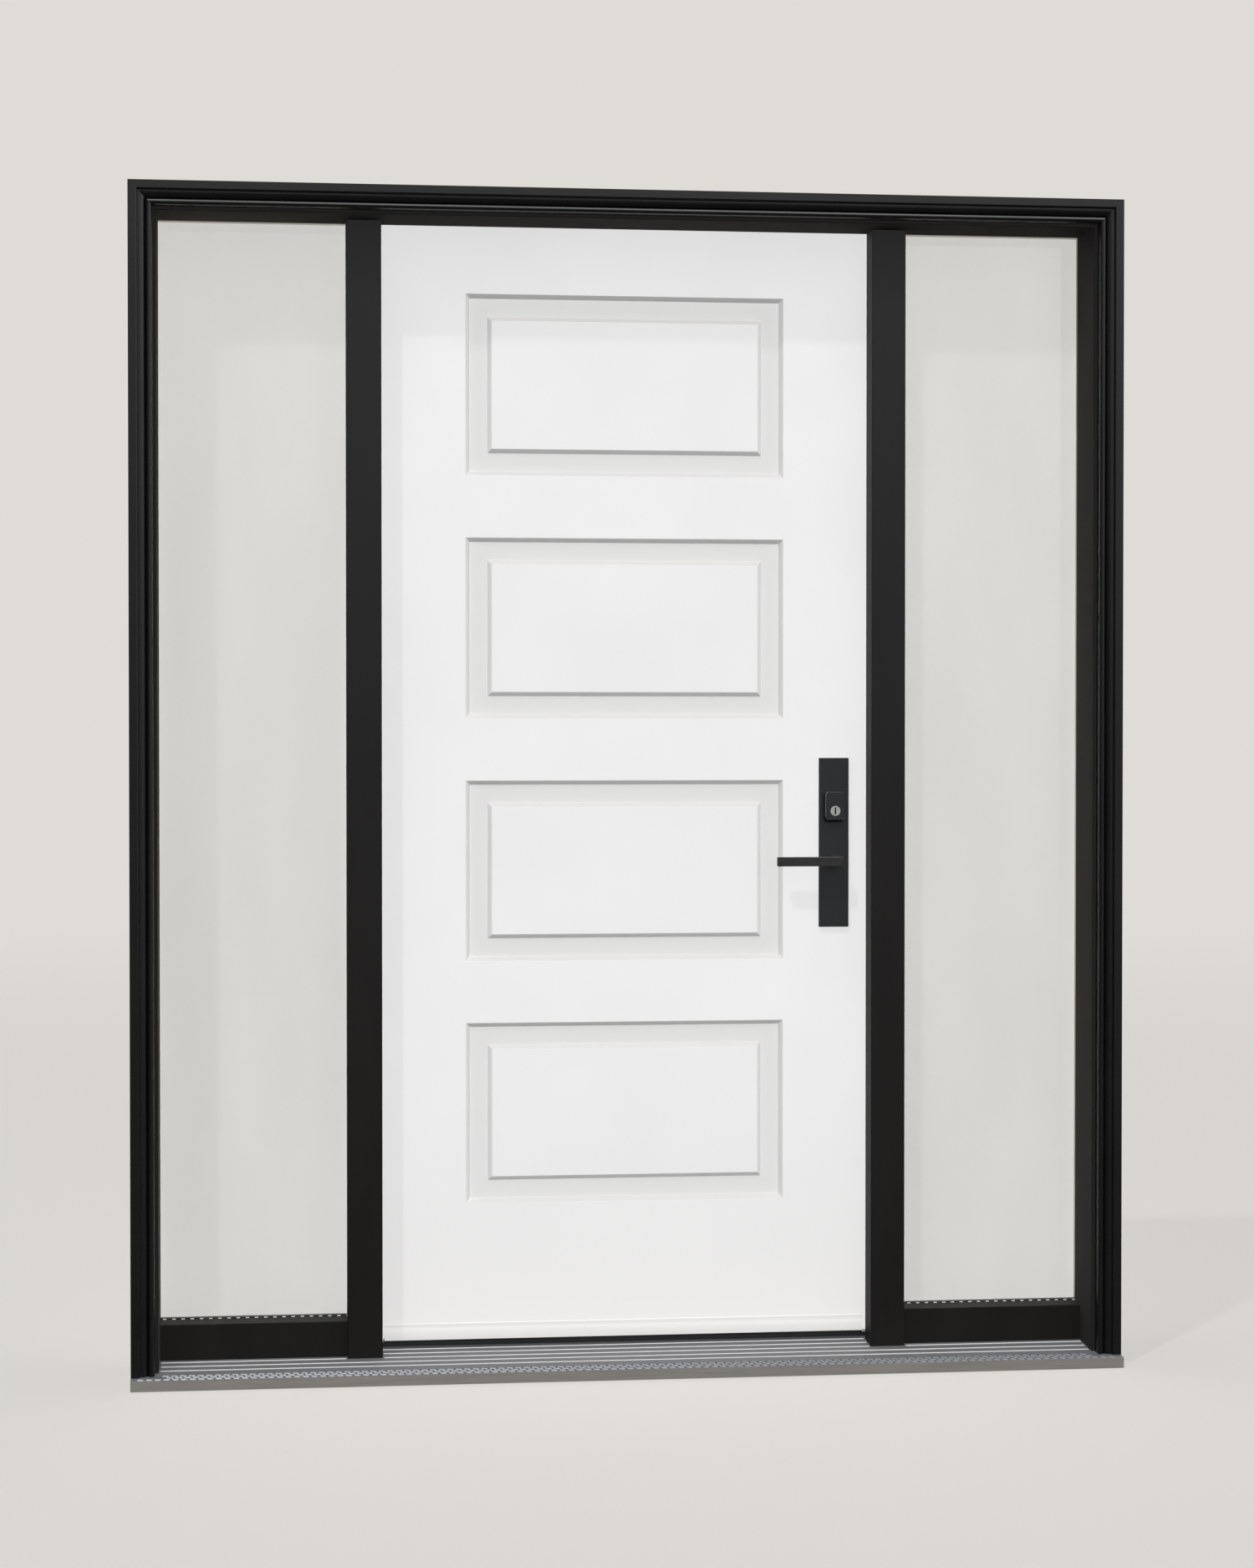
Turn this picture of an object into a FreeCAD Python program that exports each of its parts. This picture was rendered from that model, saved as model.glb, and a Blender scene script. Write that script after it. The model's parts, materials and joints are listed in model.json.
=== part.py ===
import FreeCAD, Part
import math
import os
from FreeCAD import Vector

# Entrance door with two fixed sidelights, ready to stand in a wall.
# Millimetres. X runs across the unit, Y from the outside to the inside, Z up.
# The origin is on the underside of the sill, midway, in the plane of the wall's outer face.

os.makedirs("parts", exist_ok=True)

# Door slab
slab_width = 914.0
slab_height = 2032.0
slab_thickness = 44.5
slab_base = 51.3
slab_gap = 5.0
lock_bevel_deg = 3.0
skin_thickness = 2.0
stile_width = 32.0
top_rail_height = 32.0
bottom_rail_height = 45.0

# Raised panels pressed into both skins
panel_count = 4
panel_width = 586.0
panel_height = 329.0
panel_spacing = 113.8
panel_top_margin = 130.2
groove_depth = 9.5
groove_bevel = 7.5
channel_width = 33.0
field_bevel = 7.5
field_sink = 1.0

# Frame posts and head
jamb_depth = 166.7
jamb_thickness = 32.0
rabbet_depth = 14.5
seal_space = 5.0
mullion_width = 62.8
mullion_setback = 65.6
sidelight_width = 335.2
eased_edge = 1.0

# Outside moulding
moulding_width = 41.5
moulding_thickness = 30.0
moulding_reveal = 6.3
moulding_band = 13.5
moulding_step = 5.5
moulding_groove = 14.5
moulding_bead = 10.5
fall_drop = 2.1
fall_shift = 1.0
bead_foot = 12.5
bead_crest = 6.0
bead_shift = 1.0
bead_edge = 10.5

# Sill
sill_overhang = 48.7
nose_height = 19.1
nose_lip = 1.5
sill_slope_deg = 3.9
deck_thickness = 3.0
tread_groove_count = 8
tread_groove_depth = 0.8
tread_width = 32.7
rib_first = 8.0
rib_pitch = 27.0
rib_count = 5
rib_width = 5.0
rib_top_width = 2.0
rib_height = 1.6
rib_end_gap = 3.0
threshold_setback = 141.0
threshold_top = 39.6
threshold_bevel = 1.5

# Sidelights
rail_setback = 80.0
rail_height = 92.5
rail_rise = 2.7
rail_rebate = 9.0
pane_thickness = 4.0
pane_space = 12.0
glass_edge_gap = 2.0
glass_top_gap = 8.0
spacer_width = 10.5
bead_depth = 18.0
bead_bevel = 7.0
joint_gap = 0.5

# Weather seals
strip_width = 10.0
strip_clearance = 1.0
strip_chamfer = 1.2
sweep_lip_height = 30.4
sweep_lip_projection = 2.4
sweep_top_projection = 1.2
sweep_neck_projection = 0.6
sweep_foot_projection = 0.8
sweep_top_height = 4.0
sweep_neck_height = 3.0
sweep_fall_height = 9.0
sweep_foot_height = 7.5
carrier_height = 4.7
carrier_inset = 3.0
fin_thickness = 3.0
fin_count = 3
seal_base_thickness = 1.5

# Hinges
hinge_height = 100.0
hinge_top_margin = 180.0
hinge_bottom_margin = 250.0
leaf_thickness = 2.5
leaf_depth = 36.0
leaf_corner = 8.0
knuckle_radius = 6.5
knuckle_offset = 8.0
knuckle_count = 5
knuckle_gap = 0.5
pin_radius = 3.5
pin_clearance = 0.05
pin_head_radius = 5.0
pin_head_height = 3.0

# Lock set
backset = 70.0
lever_height = 919.0
lock_centres = 92.0
plate_width = 55.0
plate_height = 312.0
plate_thickness = 9.0
plate_below_lever = 122.5
plate_chamfer = 1.0
housing_width = 37.0
housing_height = 51.0
housing_below_plug = 16.0
housing_projection = 14.0
housing_chamfer = 3.5
plug_radius = 9.15
plug_length = 24.0
keyway_width = 2.4
keyway_height = 9.5
keyway_depth = 16.0
turn_clearance = 0.08
turn_end_gap = 0.5
tail_width = 8.0
tail_thickness = 3.0
thumb_width = 9.0
thumb_length = 32.0
thumb_projection = 20.0
thumb_hub_projection = 10.0
thumb_grip_start = 5.0
lever_projection = 58.0
lever_bar_height = 17.0
lever_bar_thickness = 13.0
lever_reach = 113.0
lever_tail = 10.0
lever_chamfer = 1.5
lever_return = 9.0
neck_radius = 12.0
spindle_width = 8.0
spindle_bore_radius = 7.0

# Edge plate of the lock, its bolts and the strike
edge_plate_width = 24.0
edge_plate_height = 250.0
edge_plate_thickness = 3.0
bolt_width = 12.0
latch_height = 22.0
deadbolt_height = 34.0
bolt_length = 24.0
bolt_clearance = 0.3
strike_thickness = 2.5
strike_clearance = 2.0

# Planes and lines that several pieces share
door_face = jamb_depth - slab_thickness
door_middle = jamb_depth - slab_thickness / 2
stop_back = door_face - seal_space
slab_half = slab_width / 2
slab_top = slab_base + slab_height
rabbet_x = slab_half + slab_gap
stop_x = rabbet_x - rabbet_depth
light_x = stop_x + mullion_width
light_rabbet_x = light_x - rabbet_depth
jamb_x = light_x + sidelight_width
jamb_rabbet_x = jamb_x + rabbet_depth
jamb_outer_x = jamb_x + jamb_thickness
head_rabbet_z = slab_top + slab_gap
soffit_z = head_rabbet_z - rabbet_depth
head_top_z = soffit_z + jamb_thickness
moulding_outer_x = jamb_x + moulding_reveal + moulding_width
moulding_top_z = soffit_z + moulding_reveal + moulding_width
sill_slope = math.tan(math.radians(sill_slope_deg))
lock_x = slab_half - backset
plug_height = lever_height + lock_centres


# How far the middle of a quarter arc lies in from its corner, for a radius of one
quarter_arc_inset = 1 - math.sqrt(0.5)


def deck_z(y):
    """Height of the sloping sill deck at depth y."""
    return nose_height + sill_slope * (y + sill_overhang)


def lock_edge_x(y):
    """The slab's lock edge leans back towards the outside so that it clears the frame as it swings."""
    return slab_half - math.tan(math.radians(lock_bevel_deg)) * (jamb_depth - y)


def block(x0, x1, y0, y1, z0, z1):
    return Part.makeBox(x1 - x0, y1 - y0, z1 - z0, Vector(x0, y0, z0))


def upright(outline, z0, z1):
    """A straight bar standing on Z, from an outline of (x, y) points."""
    points = [Vector(x, y, z0) for x, y in outline]
    face = Part.Face(Part.makePolygon(points + points[:1]))
    return face.extrude(Vector(0, 0, z1 - z0))


def level(outline, x0, x1):
    """A straight bar lying along X, from an outline of (y, z) points."""
    points = [Vector(x0, y, z) for y, z in outline]
    face = Part.Face(Part.makePolygon(points + points[:1]))
    return face.extrude(Vector(x1 - x0, 0, 0))


def rod(radius, x, z, y0, y1):
    """A round bar through the door's thickness."""
    return Part.makeCylinder(radius, y1 - y0, Vector(x, y0, z), Vector(0, 1, 0))


def other_side(shape):
    """The same piece on the other side of the unit's middle."""
    return shape.mirror(Vector(0, 0, 0), Vector(1, 0, 0))


def inside_out(shape):
    """The same piece on the inside face of the slab."""
    return shape.mirror(Vector(0, door_middle, 0), Vector(0, 1, 0))


def save(name, *solids):
    shape = solids[0]
    if len(solids) > 1:
        shape = Part.makeCompound(list(solids))
    shape.exportStep(f"parts/{name}.step")


# Everything that stands on the sill is trimmed to this wedge.
below_deck = level(
    [
        (-sill_overhang, -nose_height),
        (jamb_depth, -nose_height),
        (jamb_depth, deck_z(jamb_depth)),
        (-sill_overhang, deck_z(-sill_overhang)),
    ],
    -moulding_outer_x,
    moulding_outer_x,
)


def on_sill(shape):
    return shape.cut(below_deck)


# Sill: a solid nosing, a ribbed deck behind its front lip and a raised threshold under the door
deck_front = nose_lip - sill_overhang


def make_sill_base():
    outline = [
        (-sill_overhang, 0),
        (jamb_depth, 0),
        (jamb_depth, deck_z(jamb_depth) - deck_thickness),
        (deck_front, deck_z(deck_front) - deck_thickness),
        (deck_front, deck_z(deck_front)),
        (-sill_overhang, deck_z(-sill_overhang)),
    ]
    return level(outline, -moulding_outer_x, moulding_outer_x)


def make_sill_deck():
    pitch = tread_width / tread_groove_count
    outline = [
        (jamb_depth, deck_z(jamb_depth)),
        (jamb_depth, deck_z(jamb_depth) - deck_thickness),
        (deck_front, deck_z(deck_front) - deck_thickness),
    ]
    for index in range(tread_groove_count):
        start = deck_front + index * pitch
        outline.append((start, deck_z(start)))
        outline.append((start + pitch / 2, deck_z(start + pitch / 2) - tread_groove_depth))
    outline.append((deck_front + tread_width, deck_z(deck_front + tread_width)))
    deck = level(outline, -moulding_outer_x, moulding_outer_x)
    whole_width = [(-jamb_x + rib_end_gap, jamb_x - rib_end_gap, mullion_setback)]
    bays = [
        (-jamb_x + rib_end_gap, -light_x - rib_end_gap, rail_setback),
        (-stop_x + rib_end_gap, stop_x - rib_end_gap, threshold_setback),
        (light_x + rib_end_gap, jamb_x - rib_end_gap, rail_setback),
    ]
    ribs = []
    for index in range(rib_count):
        y = rib_first + index * rib_pitch
        spans = whole_width if y + rib_width < mullion_setback else bays
        for x0, x1, span_back in spans:
            if y + rib_width < span_back:
                ribs.append(make_rib(y, x0, x1))
    return deck.fuse(ribs).removeSplitter()


def make_rib(y, x0, x1):
    outline = [
        (y, deck_z(y) - deck_thickness / 2),
        (y + rib_width, deck_z(y + rib_width) - deck_thickness / 2),
        (y + rib_width, deck_z(y + rib_width)),
        (y + rib_width / 2 + rib_top_width / 2, deck_z(y) + rib_height),
        (y + rib_width / 2 - rib_top_width / 2, deck_z(y) + rib_height),
        (y, deck_z(y)),
    ]
    return level(outline, x0, x1)


def make_threshold():
    outline = [
        (threshold_setback, 0),
        (jamb_depth, 0),
        (jamb_depth, threshold_top),
        (threshold_setback + threshold_bevel, threshold_top),
        (threshold_setback, threshold_top - threshold_bevel),
    ]
    return on_sill(level(outline, -rabbet_x, rabbet_x))


# Frame: rabbeted side jambs and head, with two tee-shaped posts between door and sidelights
def make_right_jamb():
    outline = [
        (jamb_x + eased_edge, 0),
        (jamb_outer_x, 0),
        (jamb_outer_x, stop_back),
        (jamb_x, stop_back),
        (jamb_x, eased_edge),
    ]
    stop = upright(outline, 0, soffit_z)
    back = block(jamb_rabbet_x, jamb_outer_x, stop_back, jamb_depth, 0, head_rabbet_z)
    return on_sill(stop.fuse(back).removeSplitter())


def make_head():
    outline = [
        (0, soffit_z + eased_edge),
        (eased_edge, soffit_z),
        (stop_back, soffit_z),
        (stop_back, head_rabbet_z),
        (jamb_depth, head_rabbet_z),
        (jamb_depth, head_top_z),
        (0, head_top_z),
    ]
    return level(outline, -jamb_outer_x, jamb_outer_x)


def make_right_mullion():
    outline = [
        (stop_x + eased_edge, mullion_setback),
        (light_x - eased_edge, mullion_setback),
        (light_x, mullion_setback + eased_edge),
        (light_x, stop_back),
        (stop_x, stop_back),
        (stop_x, mullion_setback + eased_edge),
    ]
    stop = upright(outline, 0, soffit_z)
    stem = block(rabbet_x, light_rabbet_x, stop_back, jamb_depth, 0, head_rabbet_z)
    return on_sill(stop.fuse(stem).removeSplitter())


# Outside moulding: a band, a step, a rounded fall into a deep groove and a bead along the inner edge
def moulding_edges(place):
    """The moulding's section. place turns (distance from the outer edge, depth) into a point."""
    step_x = moulding_band + moulding_step / 2
    groove_x = moulding_width - moulding_bead
    flat_x = step_x + moulding_step / 2
    fall_x = (flat_x + groove_x) / 2 + fall_shift
    crest_x = moulding_width - moulding_bead / 2 + bead_shift
    corner = moulding_step / 2 * quarter_arc_inset
    outer = place(0, 0)
    band_end = place(moulding_band, 0)
    band_round = place(step_x - corner, corner)
    step_top = place(step_x, moulding_step / 2)
    step_foot = place(step_x, moulding_step)
    fall_start = place(flat_x, moulding_step)
    fall = place(fall_x, moulding_step + fall_drop)
    groove = place(groove_x, moulding_groove)
    bead_start = place(groove_x, bead_foot)
    crest = place(crest_x, bead_crest)
    bead_end = place(moulding_width, bead_edge)
    inner_back = place(moulding_width, moulding_thickness)
    outer_back = place(0, moulding_thickness)
    return [
        Part.makeLine(outer, band_end),
        Part.Arc(band_end, band_round, step_top).toShape(),
        Part.makeLine(step_top, step_foot),
        Part.makeLine(step_foot, fall_start),
        Part.Arc(fall_start, fall, groove).toShape(),
        Part.makeLine(groove, bead_start),
        Part.Arc(bead_start, crest, bead_end).toShape(),
        Part.makeLine(bead_end, inner_back),
        Part.makeLine(inner_back, outer_back),
        Part.makeLine(outer_back, outer),
    ]


def mitred(outline):
    """The straight-sided region that one length of moulding keeps after its mitre cuts."""
    points = [Vector(x, -moulding_thickness, z) for x, z in outline]
    face = Part.Face(Part.makePolygon(points + points[:1]))
    return face.extrude(Vector(0, moulding_thickness, 0))


def make_right_moulding():
    def place(inward, depth):
        return Vector(moulding_outer_x - inward, depth - moulding_thickness, 0)

    section = Part.Face(Part.Wire(moulding_edges(place)))
    length = section.extrude(Vector(0, 0, moulding_top_z))
    inner_x = moulding_outer_x - moulding_width
    inner_z = moulding_top_z - moulding_width
    keep = mitred(
        [(inner_x, 0), (moulding_outer_x, 0), (moulding_outer_x, moulding_top_z), (inner_x, inner_z)]
    )
    return on_sill(length.common(keep))


def make_head_moulding():
    def place(inward, depth):
        return Vector(-moulding_outer_x, depth - moulding_thickness, moulding_top_z - inward)

    section = Part.Face(Part.Wire(moulding_edges(place)))
    length = section.extrude(Vector(2 * moulding_outer_x, 0, 0))
    inner_x = moulding_outer_x - moulding_width
    inner_z = moulding_top_z - moulding_width
    keep = mitred(
        [
            (-moulding_outer_x, moulding_top_z),
            (moulding_outer_x, moulding_top_z),
            (inner_x, inner_z),
            (-inner_x, inner_z),
        ]
    )
    return length.common(keep)


# Sidelight: a bottom rail, two panes held apart by a spacer, and beads on the inside
rail_top_z = rail_height + rail_rise
glass_seat_z = rail_top_z - rail_rebate
glass_back = stop_back + 2 * pane_thickness + pane_space
glass_x0 = light_rabbet_x + glass_edge_gap
glass_x1 = jamb_rabbet_x - glass_edge_gap
glass_top_z = head_rabbet_z - glass_top_gap


def make_right_rail():
    outline = [
        (rail_setback, 0),
        (jamb_depth, 0),
        (jamb_depth, glass_seat_z),
        (stop_back, glass_seat_z),
        (stop_back, rail_top_z),
        (rail_setback + eased_edge, rail_height),
        (rail_setback, rail_height - eased_edge),
    ]
    rail = level(outline, light_rabbet_x, jamb_rabbet_x)
    ahead = block(light_rabbet_x, light_x, 0, stop_back, 0, soffit_z)
    beside = block(jamb_x, jamb_rabbet_x, 0, stop_back, 0, soffit_z)
    return on_sill(rail.cut(ahead).cut(beside))


def make_right_pane(y):
    return block(glass_x0, glass_x1, y, y + pane_thickness, glass_seat_z, glass_top_z)


def make_right_spacer():
    front = stop_back + pane_thickness
    back = front + pane_space
    around = block(glass_x0, glass_x1, front, back, glass_seat_z, glass_top_z)
    inside = block(
        glass_x0 + spacer_width,
        glass_x1 - spacer_width,
        front,
        back,
        glass_seat_z + spacer_width,
        glass_top_z - spacer_width,
    )
    return around.cut(inside)


def make_right_beads():
    y0 = glass_back
    y1 = glass_back + bead_depth
    yb = y1 - bead_bevel
    left = [
        (light_rabbet_x, y0),
        (light_x, y0),
        (light_x, yb),
        (light_x - bead_bevel, y1),
        (light_rabbet_x, y1),
    ]
    right = [
        (jamb_rabbet_x, y0),
        (jamb_rabbet_x, y1),
        (jamb_x + bead_bevel, y1),
        (jamb_x, yb),
        (jamb_x, y0),
    ]
    low = [
        (y0, glass_seat_z),
        (y1, glass_seat_z),
        (y1, rail_top_z - bead_bevel),
        (yb, rail_top_z),
        (y0, rail_top_z),
    ]
    high = [
        (y0, head_rabbet_z),
        (y0, soffit_z),
        (yb, soffit_z),
        (y1, soffit_z + bead_bevel),
        (y1, head_rabbet_z),
    ]
    return [
        upright(left, glass_seat_z, head_rabbet_z),
        upright(right, glass_seat_z, head_rabbet_z),
        level(low, light_x + joint_gap, jamb_x - joint_gap),
        level(high, light_x + joint_gap, jamb_x - joint_gap),
    ]


# Door slab: two pressed skins over stiles, rails and a core
slab_shape = upright(
    [
        (-slab_half, door_face),
        (lock_edge_x(door_face), door_face),
        (lock_edge_x(jamb_depth), jamb_depth),
        (-slab_half, jamb_depth),
    ],
    slab_base,
    slab_top,
)
inner_front = door_face + skin_thickness
inner_back = jamb_depth - skin_thickness


def make_panel_groove(top):
    """The ring that one raised panel sinks into the outside face, with its field left standing."""
    half = panel_width / 2
    base = top - panel_height
    floor_half = half - groove_bevel
    foot = groove_bevel + channel_width
    crown = foot + field_bevel
    floor_y = door_face + groove_depth
    hollow = Part.makeWedge(
        -half, door_face, base, base + groove_bevel, -floor_half,
        half, floor_y, top, top - groove_bevel, floor_half,
    )
    field = Part.makeWedge(
        -half + crown, door_face + field_sink, base + crown, base + foot, -half + foot,
        half - crown, floor_y, top - crown, top - foot, half - foot,
    )
    return hollow.cut(field)


def make_panel_grooves():
    first_top = slab_top - panel_top_margin
    pitch = panel_height + panel_spacing
    return [make_panel_groove(first_top - index * pitch) for index in range(panel_count)]


panel_grooves = make_panel_grooves()
pressed_backs = [groove.translated(Vector(0, skin_thickness, 0)) for groove in panel_grooves]
spindle_bore = rod(spindle_bore_radius, lock_x, lever_height, door_face, jamb_depth)
plug_bore = rod(plug_radius + turn_clearance, lock_x, plug_height, door_face, jamb_depth)


def make_outside_skin():
    sheet = block(-slab_half, slab_half, door_face, inner_front, slab_base, slab_top)
    skin = sheet.fuse(pressed_backs).cut(panel_grooves)
    return skin.cut([spindle_bore, plug_bore]).removeSplitter()


def make_core():
    core = block(
        -slab_half + stile_width,
        slab_half - stile_width,
        inner_front,
        inner_back,
        slab_base + bottom_rail_height,
        slab_top - top_rail_height,
    )
    core = core.cut(pressed_backs)
    core = core.cut([inside_out(back) for back in pressed_backs])
    return core.cut([spindle_bore, plug_bore])


def make_stile(x0, x1):
    return block(x0, x1, inner_front, inner_back, slab_base, slab_top)


def make_slab_rail(z0, z1):
    return block(-slab_half + stile_width, slab_half - stile_width, inner_front, inner_back, z0, z1)


# Seals: a sweep under the slab and strips on the stops
sweep_half = stop_x - slab_gap
carrier_base = slab_base - carrier_height


def make_sweep_carrier():
    """A cap under the slab whose front lip is a small drip moulding: a bead over a rounded fall."""
    def lip(projection, z):
        return Vector(-sweep_half, door_face - projection, z)

    lip_top = carrier_base + sweep_lip_height
    neck_top = lip_top - sweep_top_height
    neck_foot = neck_top - sweep_neck_height
    fall_foot = neck_foot - sweep_fall_height
    fall_middle = (sweep_neck_projection + sweep_lip_projection) / 2
    foot_top = carrier_base + sweep_foot_height
    cap_back = jamb_depth - carrier_inset
    edges = [
        Part.makeLine(lip(0, slab_base), lip(0, lip_top)),
        Part.makeLine(lip(0, lip_top), lip(sweep_top_projection, lip_top - sweep_top_projection)),
        Part.makeLine(
            lip(sweep_top_projection, lip_top - sweep_top_projection), lip(sweep_top_projection, neck_top)
        ),
        Part.makeLine(lip(sweep_top_projection, neck_top), lip(sweep_neck_projection, neck_foot)),
        Part.Arc(
            lip(sweep_neck_projection, neck_foot),
            lip(fall_middle + sweep_neck_projection / 2, (neck_foot + fall_foot) / 2),
            lip(sweep_lip_projection, fall_foot),
        ).toShape(),
        Part.makeLine(lip(sweep_lip_projection, fall_foot), lip(sweep_lip_projection, foot_top)),
        Part.makeLine(lip(sweep_lip_projection, foot_top), lip(sweep_foot_projection, carrier_base)),
    ]
    corners = [
        lip(sweep_foot_projection, carrier_base),
        Vector(-sweep_half, cap_back, carrier_base),
        Vector(-sweep_half, cap_back, slab_base),
        lip(0, slab_base),
    ]
    edges += [Part.makeLine(a, b) for a, b in zip(corners, corners[1:])]
    return Part.Face(Part.Wire(edges)).extrude(Vector(2 * sweep_half, 0, 0))


def make_sweep_seal():
    front = door_face + carrier_inset
    back = jamb_depth - carrier_inset
    base = level(
        [
            (front, carrier_base - seal_base_thickness),
            (back, carrier_base - seal_base_thickness),
            (back, carrier_base),
            (front, carrier_base),
        ],
        -sweep_half,
        sweep_half,
    )
    fins = []
    pitch = (back - front - fin_thickness) / (fin_count - 1)
    tip_z = threshold_top + strip_clearance
    for index in range(fin_count):
        y = front + index * pitch
        fins.append(block(-sweep_half, sweep_half, y, y + fin_thickness, tip_z, carrier_base))
    return base.fuse(fins).removeSplitter()


def make_weatherstrips():
    """Strips on the back of the stops, each with the two edges towards the slab rounded off."""
    inner = stop_x + joint_gap
    outer = stop_x + strip_width
    low = soffit_z + joint_gap
    high = soffit_z + strip_width
    nose = door_face - strip_clearance
    shoulder = nose - strip_chamfer
    right = upright(
        [
            (inner, stop_back),
            (outer, stop_back),
            (outer, shoulder),
            (outer - strip_chamfer, nose),
            (inner + strip_chamfer, nose),
            (inner, shoulder),
        ],
        0,
        soffit_z,
    )
    head = level(
        [
            (stop_back, low),
            (shoulder, low),
            (nose, low + strip_chamfer),
            (nose, high - strip_chamfer),
            (shoulder, high),
            (stop_back, high),
        ],
        -outer,
        outer,
    )
    right = on_sill(right)
    return [right, other_side(right), head]


# Hinges: leaves let into the post and the slab's edge, knuckles on the inside, a loose pin
hinge_x = -(slab_half + slab_gap / 2)
hinge_y = jamb_depth + knuckle_offset
hinge_low = slab_base + hinge_bottom_margin
hinge_high = slab_top - hinge_top_margin - hinge_height
hinge_bases = [hinge_low, (hinge_low + hinge_high) / 2, hinge_high]
knuckle_length = hinge_height / knuckle_count
leaf_front = jamb_depth - leaf_depth


def leaf_seat(x, base):
    """The flat of a hinge leaf, and the pocket that it is let into, with two rounded corners."""
    plate = block(x, x + leaf_thickness, leaf_front, jamb_depth, base, base + hinge_height)
    corners = [
        edge for edge in plate.Edges
        if edge.BoundBox.XLength > leaf_thickness / 2 and edge.BoundBox.YMax < leaf_front + leaf_corner
    ]
    return plate.makeFillet(leaf_corner, corners)


def frame_leaf_seat(base):
    return leaf_seat(-rabbet_x - leaf_thickness, base)


def door_leaf_seat(base):
    return leaf_seat(-slab_half, base)


def make_knuckles(base, first, radius, gap):
    knuckles = []
    for index in range(first, knuckle_count, 2):
        z = base + index * knuckle_length + gap
        height = knuckle_length - 2 * gap
        knuckles.append(Part.makeCylinder(radius, height, Vector(hinge_x, hinge_y, z)))
    return knuckles


def make_hinge_leaf(seat, base, first):
    """One leaf with every second knuckle. first is 0 for the post's leaf and 1 for the door's."""
    box = seat.BoundBox
    tongue = block(box.XMin, box.XMax, jamb_depth, hinge_y, base, base + hinge_height)
    room = make_knuckles(base, 1 - first, knuckle_radius + knuckle_gap, 0)
    own = make_knuckles(base, first, knuckle_radius, knuckle_gap / 2)
    bore = Part.makeCylinder(
        pin_radius + pin_clearance, hinge_height, Vector(hinge_x, hinge_y, base)
    )
    return seat.fuse(tongue).cut(room).fuse(own).cut(bore).removeSplitter()


def make_hinge_pin(base):
    overhang = pin_head_height
    shaft = Part.makeCylinder(pin_radius, hinge_height, Vector(hinge_x, hinge_y, base))
    top = Part.makeCylinder(
        pin_head_radius, overhang, Vector(hinge_x, hinge_y, base + hinge_height)
    )
    foot = Part.makeCylinder(pin_head_radius, overhang, Vector(hinge_x, hinge_y, base - overhang))
    return shaft.fuse([top, foot]).removeSplitter()


# Lock set: long plates on both faces, a lever on each and a key plug above
plate_front = door_face - plate_thickness
plate_base = lever_height - plate_below_lever


def chamfered_front(shape, size):
    """Break the edges around the piece's outermost face."""
    front = shape.BoundBox.YMin
    edges = [edge for edge in shape.Edges if edge.BoundBox.YMax < front + size / 2]
    return shape.makeChamfer(size, edges)


def make_outside_plate():
    plate = block(
        lock_x - plate_width / 2,
        lock_x + plate_width / 2,
        plate_front,
        door_face,
        plate_base,
        plate_base + plate_height,
    )
    plate = chamfered_front(plate, plate_chamfer)
    neck_hole = rod(neck_radius + turn_clearance, lock_x, lever_height, plate_front, door_face)
    plug_hole = rod(plug_radius + turn_clearance, lock_x, plug_height, plate_front, door_face)
    return plate.cut([neck_hole, plug_hole])


def make_cylinder_housing():
    base = plug_height - housing_below_plug
    front = plate_front - housing_projection
    body = block(
        lock_x - housing_width / 2,
        lock_x + housing_width / 2,
        front,
        plate_front,
        base,
        base + housing_height,
    )
    uprights = [edge for edge in body.Edges if edge.BoundBox.YLength > housing_projection / 2]
    body = body.makeChamfer(housing_chamfer, uprights)
    body = chamfered_front(body, plate_chamfer)
    return body.cut(rod(plug_radius + turn_clearance, lock_x, plug_height, front, plate_front))


def make_key_plug():
    front = plate_front - housing_projection
    plug = rod(plug_radius, lock_x, plug_height, front, front + plug_length)
    keyway = block(
        lock_x - keyway_width / 2,
        lock_x + keyway_width / 2,
        front,
        front + keyway_depth,
        plug_height - keyway_height / 2,
        plug_height + keyway_height / 2,
    )
    tail = block(
        lock_x - tail_thickness / 2,
        lock_x + tail_thickness / 2,
        front + plug_length,
        jamb_depth + turn_end_gap,
        plug_height - tail_width / 2,
        plug_height + tail_width / 2,
    )
    return plug.cut(keyway).fuse(tail).removeSplitter()


def make_thumb_turn():
    hub_back = jamb_depth + plate_thickness
    hub_front = jamb_depth + turn_end_gap
    hub = rod(plug_radius, lock_x, plug_height, hub_front, hub_back + thumb_hub_projection)
    grip = block(
        lock_x - thumb_width / 2,
        lock_x + thumb_width / 2,
        hub_back + thumb_grip_start,
        hub_back + thumb_projection,
        plug_height - thumb_length / 2,
        plug_height + thumb_length / 2,
    )
    grip = grip.makeChamfer(plate_chamfer, grip.Edges)
    return hub.fuse(grip).removeSplitter()


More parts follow.
